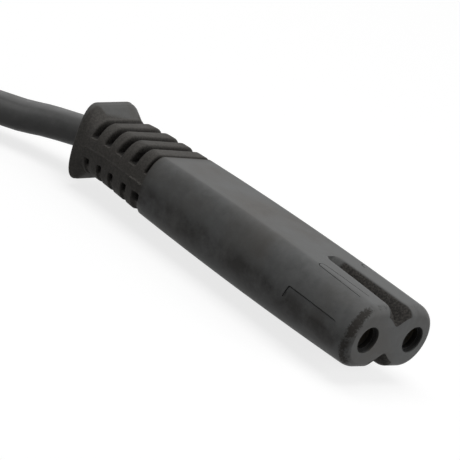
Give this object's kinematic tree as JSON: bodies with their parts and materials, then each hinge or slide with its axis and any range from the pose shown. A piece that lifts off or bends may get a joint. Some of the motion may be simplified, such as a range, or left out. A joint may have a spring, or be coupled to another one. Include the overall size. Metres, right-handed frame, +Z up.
{
  "type": "figure eight power connector",
  "caption": "Moulded figure eight appliance connector with a ribbed strain relief, on a flat twin cord folded in a tied hank that ends in a flat two-pin plug.",
  "frame": {"origin": "centre of the mating face, between the two contact holes", "axes": "+X out of the mating face along the contacts, +Y across the two contacts, +Z up, square to the flat top"},
  "size_m": [0.205, 0.0593, 0.0264],
  "materials": {
    "moulding": "satin",
    "cord_jacket": "satin",
    "carrier": "matte",
    "contact_brass": "satin",
    "core_brown": "satin",
    "core_blue": "satin",
    "copper": "satin",
    "pin_nickel": "polished",
    "tie": "satin"
  },
  "bodies": {
    "root": {"connector_housing": "moulding", "contact_carrier": "carrier", "contact_left": "contact_brass", "contact_right": "contact_brass", "core_left": "core_brown", "core_right": "core_blue", "wire_left": "copper", "wire_right": "copper", "cord_jacket_end": "cord_jacket", "cord_run": "cord_jacket", "cord_hank": "cord_jacket", "cord_tail": "cord_jacket", "cord_tie_left": "tie", "cord_tie_right": "tie", "plug_body": "moulding", "plug_bridge": "carrier", "plug_pin_left": "pin_nickel", "plug_pin_right": "pin_nickel", "plug_sleeve_left": "carrier", "plug_sleeve_right": "carrier", "plug_core_left": "core_brown", "plug_core_right": "core_blue", "plug_wire_left": "copper", "plug_wire_right": "copper", "plug_jacket_end": "cord_jacket"}
  },
  "joints": []
}
